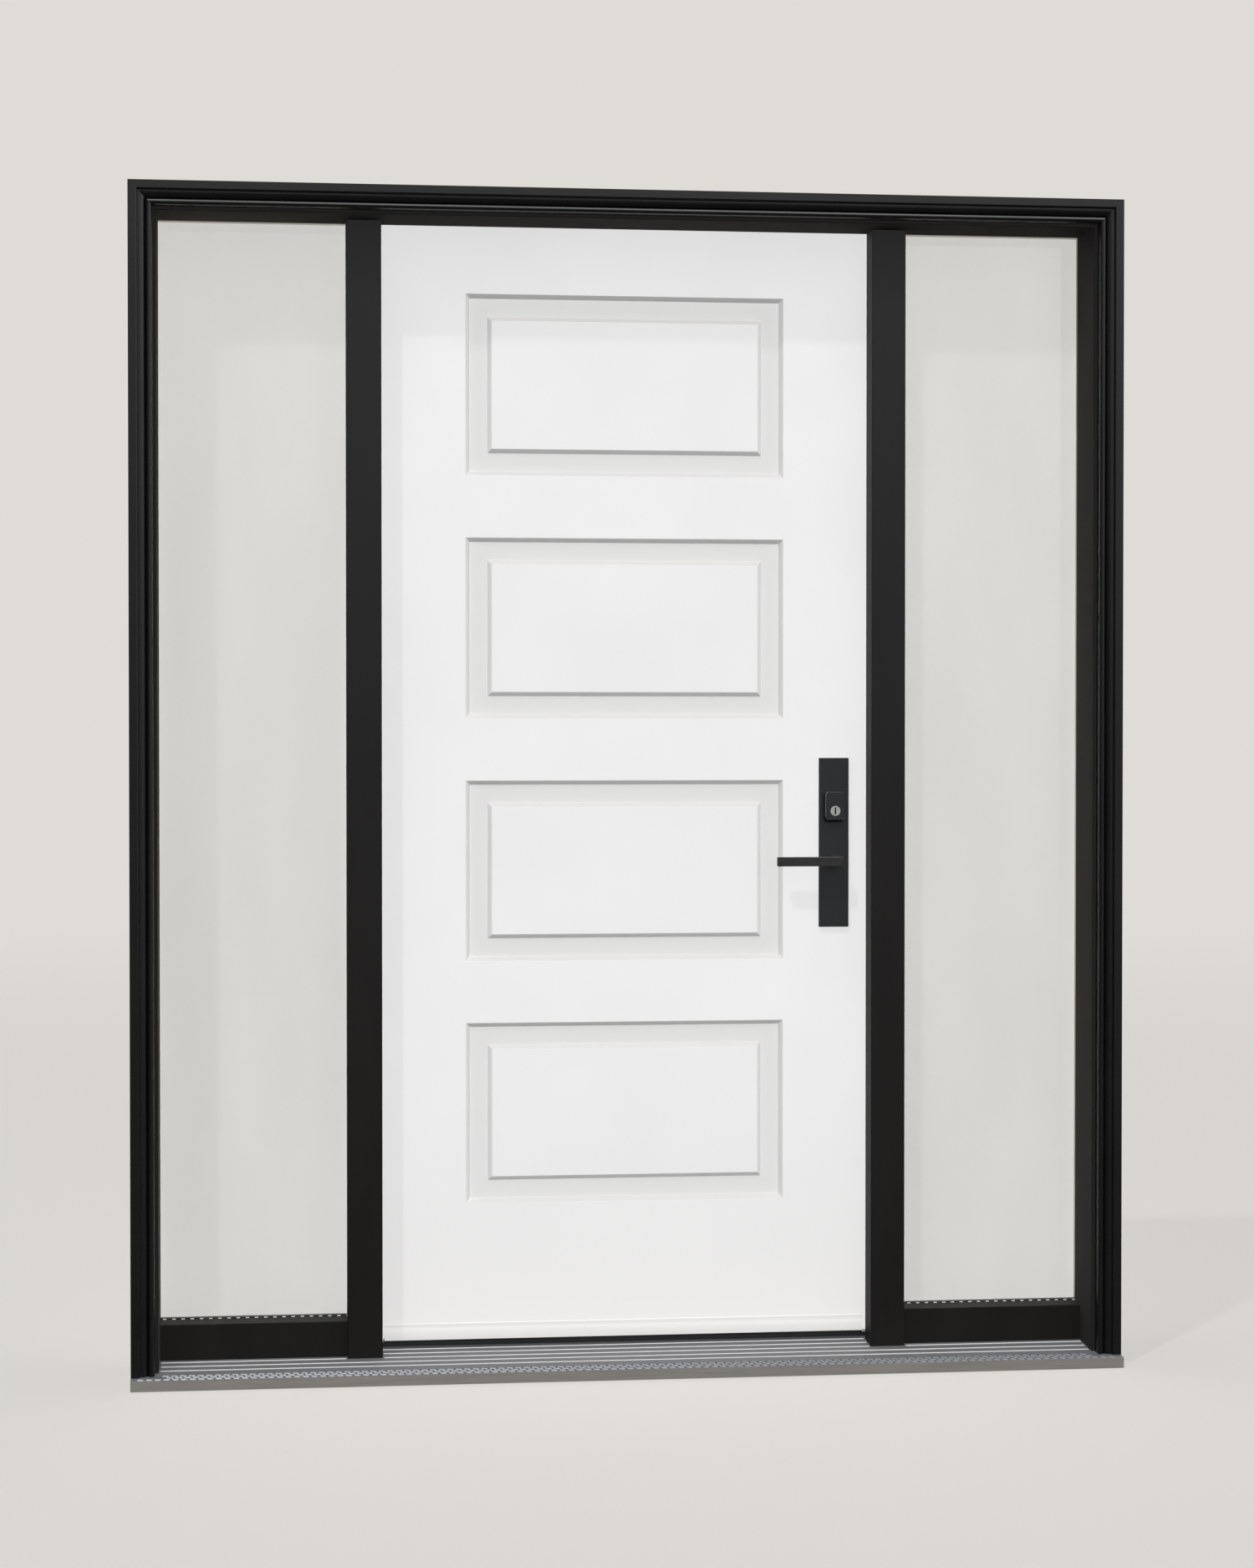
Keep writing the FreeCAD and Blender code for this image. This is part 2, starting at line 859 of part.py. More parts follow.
def make_outside_lever():
    """A flat bar with a bevelled tip, rounded back towards the door at its neck end."""
    front = door_face - lever_projection
    back = front + lever_bar_thickness
    tip = lock_x - lever_reach
    tail = lock_x + lever_tail
    base = lever_height - lever_bar_height / 2
    middle = lever_return * quarter_arc_inset
    corners = [
        Vector(tail, front + lever_return, base),
        Vector(tail, back, base),
        Vector(tip + lever_chamfer, back, base),
        Vector(tip, back - lever_chamfer, base),
        Vector(tip, front + lever_chamfer, base),
        Vector(tip + lever_chamfer, front, base),
        Vector(tail - lever_return, front, base),
    ]
    edges = [Part.makeLine(a, b) for a, b in zip(corners, corners[1:])]
    turn = Part.Arc(corners[-1], Vector(tail - middle, front + middle, base), corners[0])
    edges.append(turn.toShape())
    bar = Part.Face(Part.Wire(edges)).extrude(Vector(0, 0, lever_bar_height))
    rims = [edge for edge in bar.Edges if edge.BoundBox.ZLength < lever_chamfer]
    bar = bar.makeChamfer(eased_edge, rims)
    neck_front = front + lever_return
    neck = rod(neck_radius, lock_x, lever_height, neck_front, door_face - turn_end_gap)
    return bar.fuse(neck).removeSplitter()


def make_spindle():
    half = spindle_width / 2
    return block(
        lock_x - half,
        lock_x + half,
        door_face - turn_end_gap,
        jamb_depth + turn_end_gap,
        lever_height - half,
        lever_height + half,
    )


# Edge plate, bolts and strike on the lock side
edge_plate_base = plate_base + (plate_height - edge_plate_height) / 2
edge_front = door_middle - edge_plate_width / 2
edge_back = door_middle + edge_plate_width / 2


def edge_bar(depth, y0, y1, z0, z1):
    """A bar let into the leaning lock edge to the given depth."""
    outline = [
        (lock_edge_x(y0), y0),
        (lock_edge_x(y1), y1),
        (lock_edge_x(y1) - depth, y1),
        (lock_edge_x(y0) - depth, y0),
    ]
    return upright(outline, z0, z1)


def bolt_bar(z, height, room):
    half = bolt_width / 2 + room
    return edge_bar(
        bolt_length + room, door_middle - half, door_middle + half, z - height / 2 - room,
        z + height / 2 + room,
    )


edge_seat = edge_bar(
    edge_plate_thickness, edge_front, edge_back, edge_plate_base, edge_plate_base + edge_plate_height
)
bolt_rooms = [
    bolt_bar(lever_height, latch_height, bolt_clearance),
    bolt_bar(plug_height, deadbolt_height, bolt_clearance),
]
bolts = [bolt_bar(lever_height, latch_height, 0), bolt_bar(plug_height, deadbolt_height, 0)]
strike_seat = block(
    rabbet_x,
    rabbet_x + strike_thickness,
    edge_front,
    edge_back,
    edge_plate_base,
    edge_plate_base + edge_plate_height,
)


def strike_window(z, height):
    half = bolt_width / 2 + strike_clearance
    return block(
        rabbet_x,
        rabbet_x + bolt_length,
        door_middle - half,
        door_middle + half,
        z - height / 2 - strike_clearance,
        z + height / 2 + strike_clearance,
    )


strike_windows = [
    strike_window(lever_height, latch_height),
    strike_window(plug_height, deadbolt_height),
]

# Sill
save("sill_base", make_sill_base())
save("sill_deck", make_sill_deck())
save("threshold", make_threshold())

# Frame
right_jamb = make_right_jamb()
save("right_jamb", right_jamb)
save("left_jamb", other_side(right_jamb))
save("head_jamb", make_head())
right_mullion = make_right_mullion()
left_mullion = other_side(right_mullion)
save("right_mullion", right_mullion.cut([strike_seat] + strike_windows))
save("left_mullion", left_mullion.cut([frame_leaf_seat(base) for base in hinge_bases]))
right_moulding = make_right_moulding()
save("right_moulding", right_moulding)
save("left_moulding", other_side(right_moulding))
save("head_moulding", make_head_moulding())

# Sidelights
sidelight_pieces = {
    "sidelight_rail": [make_right_rail()],
    "outer_pane": [make_right_pane(stop_back)],
    "inner_pane": [make_right_pane(glass_back - pane_thickness)],
    "glass_spacer": [make_right_spacer()],
    "glazing_beads": make_right_beads(),
}
for piece_name, solids in sidelight_pieces.items():
    save(f"right_{piece_name}", *solids)
    save(f"left_{piece_name}", *[other_side(solid) for solid in solids])

# Seals and strike on the frame
save("weatherstrips", *make_weatherstrips())
save("strike_plate", strike_seat.cut(strike_windows))

# Door slab
outside_skin = make_outside_skin()
inside_skin = inside_out(outside_skin)
leaf_seats = [door_leaf_seat(base) for base in hinge_bases]
save("outside_skin", outside_skin.common(slab_shape))
save("inside_skin", inside_skin.common(slab_shape).cut(leaf_seats))
save("door_core", make_core())
hinge_stile = make_stile(-slab_half, -slab_half + stile_width)
save("hinge_stile", hinge_stile.cut(leaf_seats))
lock_stile = make_stile(slab_half - stile_width, slab_half).common(slab_shape)
save("lock_stile", lock_stile.cut([edge_seat] + bolt_rooms))
save("top_rail", make_slab_rail(slab_top - top_rail_height, slab_top))
save("bottom_rail", make_slab_rail(slab_base, slab_base + bottom_rail_height))
save("sweep_carrier", make_sweep_carrier())
save("sweep_seal", make_sweep_seal())

# Hinges
save("hinge_frame_leaves", *[make_hinge_leaf(frame_leaf_seat(b), b, 0) for b in hinge_bases])
save("hinge_door_leaves", *[make_hinge_leaf(door_leaf_seat(b), b, 1) for b in hinge_bases])
save("hinge_pins", *[make_hinge_pin(base) for base in hinge_bases])

# Lock set
outside_plate = make_outside_plate()
save("outside_plate", outside_plate)
save("inside_plate", inside_out(outside_plate))
save("cylinder_housing", make_cylinder_housing())
save("lock_edge_plate", edge_seat.cut(bolt_rooms))
save("lock_bolts", *bolts)
save("key_plug", make_key_plug())
save("thumb_turn", make_thumb_turn())
outside_lever = make_outside_lever()
save("outside_lever", outside_lever)
save("inside_lever", inside_out(outside_lever))
save("lever_spindle", make_spindle())
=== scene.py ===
import json
import math

import bmesh
import bpy
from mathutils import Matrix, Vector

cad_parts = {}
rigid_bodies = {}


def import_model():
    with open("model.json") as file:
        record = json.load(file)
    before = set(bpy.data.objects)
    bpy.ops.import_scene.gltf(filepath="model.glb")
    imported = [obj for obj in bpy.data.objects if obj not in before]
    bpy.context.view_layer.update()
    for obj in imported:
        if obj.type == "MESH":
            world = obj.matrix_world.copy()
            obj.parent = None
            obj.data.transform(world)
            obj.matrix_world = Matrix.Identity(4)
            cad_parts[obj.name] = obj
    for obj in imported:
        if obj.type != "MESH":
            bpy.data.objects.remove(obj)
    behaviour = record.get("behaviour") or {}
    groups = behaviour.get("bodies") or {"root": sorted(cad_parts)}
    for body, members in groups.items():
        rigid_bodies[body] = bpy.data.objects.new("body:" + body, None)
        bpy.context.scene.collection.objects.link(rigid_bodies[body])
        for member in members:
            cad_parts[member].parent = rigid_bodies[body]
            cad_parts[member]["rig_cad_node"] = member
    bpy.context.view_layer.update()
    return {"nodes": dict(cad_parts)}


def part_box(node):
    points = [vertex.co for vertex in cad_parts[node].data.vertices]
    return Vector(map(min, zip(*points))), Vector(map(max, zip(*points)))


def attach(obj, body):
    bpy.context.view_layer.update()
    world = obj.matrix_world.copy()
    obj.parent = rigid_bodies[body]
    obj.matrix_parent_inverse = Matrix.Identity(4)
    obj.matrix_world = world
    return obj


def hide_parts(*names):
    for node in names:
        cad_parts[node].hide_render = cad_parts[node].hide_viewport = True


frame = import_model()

nodes = frame["nodes"]


# Sill nosing
# A solid extruded composite section, warm grey right through, that closes the foot of the opening.
# It is planed flat, sanded along its length and screwed down through the deck that covers it.
def srgb(red, green, blue):
    """A colour written as 0 to 255, in the linear values that shaders take."""
    def linear(value):
        share = value / 255
        return share / 12.92 if share <= 0.04045 else ((share + 0.055) / 1.055) ** 2.4

    return (linear(red), linear(green), linear(blue), 1.0)


def new_finish(name, colour, roughness, metallic=0.0, shine=0.5):
    """A material with one shader. Patterns are linked to it afterwards."""
    finish = bpy.data.materials.new(name)
    finish.use_nodes = True
    inputs = finish.node_tree.nodes["Principled BSDF"].inputs
    inputs["Base Color"].default_value = colour
    inputs["Roughness"].default_value = roughness
    inputs["Metallic"].default_value = metallic
    inputs["Specular IOR Level"].default_value = shine
    return finish


def grain(finish, size, stretch=(1, 1, 1), detail=3):
    """Noise with spots of the given size in metres, drawn out along an axis by its stretch."""
    tree = finish.node_tree
    coordinates = tree.nodes.new("ShaderNodeTexCoord")
    mapping = tree.nodes.new("ShaderNodeMapping")
    mapping.inputs["Scale"].default_value = [1 / (size * along) for along in stretch]
    noise = tree.nodes.new("ShaderNodeTexNoise")
    noise.inputs["Scale"].default_value = 1
    noise.inputs["Detail"].default_value = detail
    tree.links.new(coordinates.outputs["Object"], mapping.inputs["Vector"])
    tree.links.new(mapping.outputs["Vector"], noise.inputs["Vector"])
    return noise.outputs["Fac"]


def spread(finish, pattern, low, high, start=0.3, end=0.7, course="LINEAR"):
    """The pattern's range from start to end, stretched to run from low to high."""
    tree = finish.node_tree
    mapped = tree.nodes.new("ShaderNodeMapRange")
    mapped.interpolation_type = course
    mapped.inputs["From Min"].default_value = start
    mapped.inputs["From Max"].default_value = end
    mapped.inputs["To Min"].default_value = low
    mapped.inputs["To Max"].default_value = high
    tree.links.new(pattern, mapped.inputs["Value"])
    return mapped.outputs["Result"]


def tint(finish, pattern, low_colour, high_colour):
    """Colour the finish from one tone to another over the middle range of a pattern."""
    tree = finish.node_tree
    mix = tree.nodes.new("ShaderNodeMix")
    mix.data_type = "RGBA"
    mix.inputs["A"].default_value = low_colour
    mix.inputs["B"].default_value = high_colour
    tree.links.new(spread(finish, pattern, 0, 1), mix.inputs["Factor"])
    shader = tree.nodes["Principled BSDF"]
    tree.links.new(mix.outputs["Result"], shader.inputs["Base Color"])
    return mix.outputs["Result"]


def dull(finish, pattern, low, high):
    """Let the roughness follow a pattern."""
    shader = finish.node_tree.nodes["Principled BSDF"]
    finish.node_tree.links.new(spread(finish, pattern, low, high), shader.inputs["Roughness"])


def emboss(finish, pattern, depth):
    """Raise the surface by a pattern, to the given depth in metres."""
    tree = finish.node_tree
    bump = tree.nodes.new("ShaderNodeBump")
    bump.inputs["Strength"].default_value = 1
    bump.inputs["Distance"].default_value = depth
    tree.links.new(pattern, bump.inputs["Height"])
    tree.links.new(bump.outputs["Normal"], tree.nodes["Principled BSDF"].inputs["Normal"])


def coat(node_names, finish):
    """Put a finish on CAD nodes."""
    for name in node_names:
        nodes[name].data.materials[0] = finish


sharp_angle = math.radians(28)
flat_angle = math.radians(0.3)
merge_distance = 0.00001
shortest_edge = 0.004


def copy_node(node_name, ending):
    """A copy of a CAD node with its own merged mesh, left selected and active."""
    bpy.ops.object.select_all(action="DESELECT")
    source = nodes[node_name]
    source.select_set(True)
    bpy.context.view_layer.objects.active = source
    bpy.ops.object.duplicate()
    piece = bpy.context.object
    piece.name = f"{node_name}_{ending}"
    del piece["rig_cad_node"]
    bpy.ops.mesh.customdata_custom_splitnormals_clear()
    bpy.ops.object.mode_set(mode="EDIT")
    bpy.ops.mesh.select_mode(type="EDGE")
    bpy.ops.mesh.select_all(action="SELECT")
    bpy.ops.mesh.remove_doubles(threshold=merge_distance)
    bpy.ops.mesh.dissolve_limited(angle_limit=flat_angle)
    bpy.ops.object.mode_set(mode="OBJECT")
    return piece


def ease_edges(piece, width, segments, margin=0.0):
    """Round over the sharp edges that lie further than a margin inside the piece's sides."""
    points = [vertex.co for vertex in piece.data.vertices]
    low_x, high_x = min(p.x for p in points) + margin, max(p.x for p in points) - margin
    low_z, high_z = min(p.z for p in points) + margin, max(p.z for p in points) - margin
    bpy.ops.object.mode_set(mode="EDIT")
    bpy.ops.mesh.select_all(action="DESELECT")
    bpy.ops.mesh.edges_select_sharp(sharpness=sharp_angle)
    mesh = bmesh.from_edit_mesh(piece.data)
    for edge in mesh.edges:
        middle = (edge.verts[0].co + edge.verts[1].co) / 2
        inside = low_x <= middle.x <= high_x and low_z <= middle.z <= high_z
        if edge.select and not (inside and edge.calc_length() > shortest_edge):
            edge.select_set(False)
    mesh.select_flush_mode()
    bmesh.update_edit_mesh(piece.data)
    bpy.ops.mesh.bevel(offset=width, segments=segments, clamp_overlap=True)
    bpy.ops.object.mode_set(mode="OBJECT")


def finish_copy(piece, node_name, body):
    """Shade a reworked copy smoothly and let it stand in for its node."""
    bpy.ops.object.select_all(action="DESELECT")
    piece.select_set(True)
    bpy.context.view_layer.objects.active = piece
    bpy.ops.object.shade_smooth_by_angle(angle=sharp_angle)
    piece.modifiers.new("flat_faces", "WEIGHTED_NORMAL").keep_sharp = True
    bpy.ops.object.modifier_apply(modifier="flat_faces")
    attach(piece, body)
    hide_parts(node_name)


def eased_copies(node_names, body, width, segments=2):
    """Stand-ins for CAD nodes that keep the finish but have rounded edges."""
    for name in node_names:
        piece = copy_node(name, "eased")
        ease_edges(piece, width, segments)
        finish_copy(piece, name, body)


nosing_grey = new_finish("nosing_grey", srgb(119, 116, 111), roughness=0.6, shine=0.2)
sanding = grain(nosing_grey, size=0.0012, stretch=(60, 1, 1))
tint(nosing_grey, sanding, srgb(111, 108, 104), srgb(127, 124, 118))
dull(nosing_grey, sanding, low=0.48, high=0.64)
emboss(nosing_grey, sanding, depth=0.00012)
coat(["sill_base"], nosing_grey)
eased_copies(["sill_base"], "frame", width=0.0006)


# Sill deck
# An extruded aluminium cover with ribs raised along it and slanting lozenges on the tread behind its nose.
# It is mill finished and dulled by anodising. The crests are worn bright and also painted brighter as
# highlight, and the tread is painted lighter to the left as highlight.
def place_along(finish, axis, reading="Object"):
    """How far along an axis a point lies, in metres, or by another reading its normal or a ray points."""
    tree = finish.node_tree
    coordinates = tree.nodes.new("ShaderNodeTexCoord")
    axes = tree.nodes.new("ShaderNodeSeparateXYZ")
    tree.links.new(coordinates.outputs[reading], axes.inputs["Vector"])
    return axes.outputs[axis]


def feed(tree, socket, value):
    """Set a number on a socket, or link the output of another node to it."""
    if isinstance(value, bpy.types.NodeSocket):
        tree.links.new(value, socket)
    else:
        socket.default_value = value


def work_out(tree, operation, *values):
    """A sum whose values are numbers or the outputs of other nodes."""
    node = tree.nodes.new("ShaderNodeMath")
    node.operation = operation
    for socket, value in zip(node.inputs, values):
        feed(tree, socket, value)
    return node.outputs["Value"]


def overlay(finish, mask, colour):
    """Lay another colour over the present one as a mask runs from 0 to 1."""
    tree = finish.node_tree
    base = tree.nodes["Principled BSDF"].inputs["Base Color"]
    mix = tree.nodes.new("ShaderNodeMix")
    mix.data_type = "RGBA"
    tree.links.new(base.links[0].from_socket, mix.inputs["A"])
    mix.inputs["B"].default_value = colour
    tree.links.new(mask, mix.inputs["Factor"])
    tree.links.new(mix.outputs["Result"], base)


deck_slope = math.tan(math.radians(3.9))
nose_height = 0.0191
nose_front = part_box("sill_base")[0].y
deck_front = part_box("sill_deck")[0].y
tread_depth = 0.0327
rib_height = 0.0016
crest_low, crest_high = 0.25 * rib_height, 0.5 * rib_height


def deck_height(y):
    """Height of the sloping deck at depth y."""
    return nose_height + deck_slope * (y - nose_front)


facing_limit = 0.9


def select_faces(piece, wanted):
    """Go into edit mode with only those faces selected that a test picks out, and list them."""
    bpy.ops.object.mode_set(mode="EDIT")
    bpy.ops.mesh.select_mode(type="FACE")
    bpy.ops.mesh.select_all(action="DESELECT")
    picked = [face for face in bmesh.from_edit_mesh(piece.data).faces if wanted(face)]
    for face in picked:
        face.select_set(True)
    bmesh.update_edit_mesh(piece.data)
    return picked


deck_grey = new_finish("deck_grey", srgb(108, 109, 111), roughness=0.5, shine=0.12)
drawing = grain(deck_grey, size=0.0006, stretch=(400, 1, 1))
tint(deck_grey, drawing, srgb(101, 102, 104), srgb(115, 116, 118))
deck_tree = deck_grey.node_tree
deck_depth = place_along(deck_grey, "Y")
deck_plane = work_out(deck_tree, "MULTIPLY_ADD", deck_depth, deck_slope, deck_height(0))
over_deck = work_out(deck_tree, "SUBTRACT", place_along(deck_grey, "Z"), deck_plane)
# The rib crests are worn bright and also painted brighter as highlight.
crest_wear_and_highlight = spread(deck_grey, over_deck, 0, 1, start=crest_low, end=crest_high)
overlay(deck_grey, crest_wear_and_highlight, srgb(204, 204, 203))
on_tread = work_out(deck_tree, "LESS_THAN", deck_depth, deck_front + tread_depth)
overlay(deck_grey, on_tread, srgb(90, 92, 96))
dull(deck_grey, drawing, low=0.44, high=0.6)
emboss(deck_grey, drawing, depth=0.00006)
coat(["sill_deck"], deck_grey)

lozenge_length = 0.0128
lozenge_width = 0.0074
lozenge_height = 0.0012
lozenge_above = 0.0004
lozenge_top_shares = (0.72, 0.5, 1)
lozenge_pitch = 0.0152
lozenge_turn = math.radians(16)
lozenge_rows = 3
row_pitch = tread_depth / lozenge_rows
clear_half_width = 0.840
whole_half_width = 0.884
moulding_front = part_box("left_moulding")[0].y
tread_bright = new_finish("tread_bright", srgb(144, 146, 151), roughness=0.5, shine=0.05)
tread_wear = grain(tread_bright, size=0.003)
tint(tread_bright, tread_wear, srgb(136, 138, 143), srgb(152, 154, 159))
# The lozenges are painted lighter towards the left as highlight.
highlight_full_x, highlight_gone_x = -0.8, 0.3
left_highlight = spread(tread_bright, place_along(tread_bright, "X"), 1, 0, start=highlight_full_x, end=highlight_gone_x)
overlay(tread_bright, left_highlight, srgb(194, 196, 201))
dull(tread_bright, tread_wear, low=0.4, high=0.55)
lozenge_strips = []
for row in range(lozenge_rows):
    row_y = deck_front + (row + 0.5) * row_pitch
    half_width = clear_half_width if row_y + row_pitch > moulding_front else whole_half_width
    odd_row = row % 2
    row_shift = lozenge_pitch / 2 * odd_row
    row_turn = -lozenge_turn if odd_row else lozenge_turn
    row_count = int((2 * half_width - row_shift) / lozenge_pitch)
    row_place = (
        -half_width + row_shift + lozenge_pitch / 2,
        row_y,
        deck_height(row_y) + lozenge_above - lozenge_height / 2,
    )
    bpy.ops.object.select_all(action="DESELECT")
    bpy.ops.mesh.primitive_cube_add(size=1, location=row_place)
    strip = bpy.context.object
    bpy.ops.transform.resize(
        value=(lozenge_length, lozenge_width, lozenge_height), center_override=row_place
    )
    bpy.ops.transform.rotate(value=row_turn, orient_axis="Z", center_override=row_place)
    bpy.ops.transform.rotate(value=-math.atan(deck_slope), orient_axis="X", center_override=row_place)
    bpy.ops.object.transform_apply(location=True, rotation=True, scale=True)
    select_faces(strip, lambda face: face.normal.z > facing_limit)
    bpy.ops.transform.resize(value=lozenge_top_shares)
    bpy.ops.object.mode_set(mode="OBJECT")
    repeat = strip.modifiers.new("repeat", "ARRAY")
    repeat.use_relative_offset = False
    repeat.use_constant_offset = True
    repeat.constant_offset_displace = (lozenge_pitch, 0, 0)
    repeat.count = row_count
    bpy.ops.object.modifier_apply(modifier="repeat")
    lozenge_strips.append(strip)
bpy.ops.object.select_all(action="DESELECT")
for strip in lozenge_strips:
    strip.select_set(True)
bpy.context.view_layer.objects.active = lozenge_strips[0]
bpy.ops.object.join()
lozenges = bpy.context.object
lozenges.name = "tread_lozenges"
lozenges.data.materials.append(tread_bright)
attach(lozenges, "frame")


# Threshold
# A dark anodised aluminium saddle under the door, which the sweep's fins close against.
# It is pressed down on the deck and sealed along both of its long edges.
saddle_black = new_finish("saddle_black", srgb(34, 35, 36), roughness=0.4, metallic=0.3)
saddle_lines = grain(saddle_black, size=0.0008, stretch=(300, 1, 1))
tint(saddle_black, saddle_lines, srgb(30, 31, 32), srgb(42, 43, 44))
dull(saddle_black, saddle_lines, low=0.34, high=0.5)
emboss(saddle_black, saddle_lines, depth=0.00005)
coat(["threshold"], saddle_black)
eased_copies(["threshold"], "frame", width=0.0004)


# Jambs and head
# Rebated composite, butted at the corners and screwed from behind, in a matt brown-black film with a leathery
# grain. The front strip is painted darker as shade, and the jambs and the head's underside towards its left
# end are painted lighter as light.
frame_black = new_finish("frame_black", srgb(56, 53, 51), roughness=0.8, shine=0.02)
face_depth = 0.0012
jamb_margin = 0.001
jamb_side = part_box("right_jamb")[0].x - jamb_margin
film_clouds = grain(frame_black, size=0.09, stretch=(1, 1, 3), detail=2)
film_grain = grain(frame_black, size=0.0009)
tint(frame_black, film_clouds, srgb(52, 49, 47), srgb(60, 57, 55))
film_tree = frame_black.node_tree
# The head's underside is painted lighter towards its left end as light.
head_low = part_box("head_jamb")[0].z
painted_light_end = -0.4
under_head = work_out(film_tree, "LESS_THAN", place_along(frame_black, "Z"), head_low + face_depth)
soffit_painted_light = spread(frame_black, place_along(frame_black, "X"), 1, 0, start=-jamb_side, end=painted_light_end)
overlay(frame_black, work_out(film_tree, "MULTIPLY", under_head, soffit_painted_light), srgb(84, 79, 74))
# The jambs' faces are painted lighter than the head as light.
off_centre = work_out(film_tree, "ABSOLUTE", place_along(frame_black, "X"))
overlay(frame_black, work_out(film_tree, "GREATER_THAN", off_centre, jamb_side), srgb(68, 65, 62))
# The front strip is painted darker as shade.
front_painted_shade = work_out(film_tree, "LESS_THAN", place_along(frame_black, "Y"), face_depth)
overlay(frame_black, front_painted_shade, srgb(33, 32, 31))
dull(frame_black, film_grain, low=0.74, high=0.88)
emboss(frame_black, film_grain, depth=0.00002)
jamb_nodes = ["left_jamb", "right_jamb", "head_jamb"]
coat(jamb_nodes, frame_black)
eased_copies(jamb_nodes, "frame", width=0.0005)


# Posts, rails and glazing beads
# The posts stand between door and sidelights, the rails close the sidelights and the beads hold the glass.
# They are the same composite, sprayed in a matt black that is painted lighter towards the top as sheen.
post_black = new_finish("post_black", srgb(30, 29, 29), roughness=0.55, shine=0.08)
post_clouds = grain(post_black, size=0.09, stretch=(1, 1, 3), detail=2)
post_grain = grain(post_black, size=0.001)
post_low, post_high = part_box("left_mullion")
post_sheen_bend = 1.6
tint(post_black, post_clouds, srgb(20, 19, 18), srgb(24, 23, 22))
# The posts are painted lighter towards the top as sheen.
top_painted_sheen = spread(post_black, place_along(post_black, "Z"), 0, 1, start=post_low.z, end=post_high.z)
overlay(post_black, work_out(post_black.node_tree, "POWER", top_painted_sheen, post_sheen_bend), srgb(41, 41, 41))
dull(post_black, post_grain, low=0.5, high=0.62)
emboss(post_black, post_grain, depth=0.00003)
post_nodes = [
    "left_mullion", "right_mullion", "left_sidelight_rail", "right_sidelight_rail", "left_glazing_beads",
    "right_glazing_beads",
]
coat(post_nodes, post_black)
eased_copies(post_nodes, "frame", width=0.0005)


# Outside moulding
# A mitred brickmould of hollow extruded section, bead and steps, nailed round the face of the frame.
# Its semi-gloss black coat is smoother than the film, so the beads catch the light.
moulding_black = new_finish("moulding_black", srgb(10, 10, 10), roughness=0.3, shine=0.42)
coat_grain = grain(moulding_black, size=0.0012)
coat_clouds = grain(moulding_black, size=0.1, detail=2)
tint(moulding_black, coat_clouds, srgb(8, 8, 8), srgb(12, 12, 12))
dull(moulding_black, coat_grain, low=0.26, high=0.34)
emboss(moulding_black, coat_grain, depth=0.000001)
moulding_nodes = ["left_moulding", "right_moulding", "head_moulding"]
coat(moulding_nodes, moulding_black)
eased_copies(moulding_nodes, "frame", width=0.0004)


# Sidelight glass
# Each sealed unit has a clear float pane outside and an acid etched one inside that passes light but no view.
# Both are bedded on the frame's stop and held by the beads on the inside.
def mix_shaders(tree, share, first, second):
    """Two shaders mixed by a share, which is a number or the output of another node."""
    mix = tree.nodes.new("ShaderNodeMixShader")
    feed(tree, mix.inputs["Fac"], share)
    tree.links.new(first, mix.inputs[1])
    tree.links.new(second, mix.inputs[2])
    return mix.outputs["Shader"]


mirror_roughness = 0.02
head_on_share = 0.04
grazing_power = 5
clear_glass = bpy.data.materials.new("clear_glass")
clear_glass.use_nodes = True
clear_tree = clear_glass.node_tree
clear_tree.nodes.remove(clear_tree.nodes["Principled BSDF"])
see_through = clear_tree.nodes.new("ShaderNodeBsdfTransparent")
see_through.inputs["Color"].default_value = srgb(254, 254, 253)
mirror = clear_tree.nodes.new("ShaderNodeBsdfGlossy")
mirror.inputs["Roughness"].default_value = mirror_roughness
facing = clear_tree.nodes.new("ShaderNodeLayerWeight")
grazing = work_out(clear_tree, "POWER", facing.outputs["Facing"], grazing_power)
reflected = work_out(clear_tree, "MULTIPLY_ADD", grazing, 1 - head_on_share, head_on_share)
clear_seen = mix_shaders(clear_tree, reflected, see_through.outputs["BSDF"], mirror.outputs["BSDF"])
clear_tree.links.new(clear_seen, clear_tree.nodes["Material Output"].inputs["Surface"])
coat(["left_outer_pane", "right_outer_pane"], clear_glass)

etched_glass = new_finish("etched_glass", srgb(224, 223, 222), roughness=0.6, shine=0.2)
etching = grain(etched_glass, size=0.0007)
etch_clouds = grain(etched_glass, size=0.12, stretch=(1, 1, 4), detail=2)
etch_tone = tint(etched_glass, etch_clouds, srgb(222, 221, 220), srgb(226, 225, 224))
dull(etched_glass, etching, low=0.52, high=0.68)
emboss(etched_glass, etching, depth=0.000005)
glow_share = 0.12
etched_tree = etched_glass.node_tree
glow_through = etched_tree.nodes.new("ShaderNodeBsdfTranslucent")
etched_tree.links.new(etch_tone, glow_through.inputs["Color"])
etched_face = etched_tree.nodes["Principled BSDF"].outputs["BSDF"]
etched_seen = mix_shaders(etched_tree, glow_share, etched_face, glow_through.outputs["BSDF"])
etched_tree.links.new(etched_seen, etched_tree.nodes["Material Output"].inputs["Surface"])
coat(["left_inner_pane", "right_inner_pane"], etched_glass)


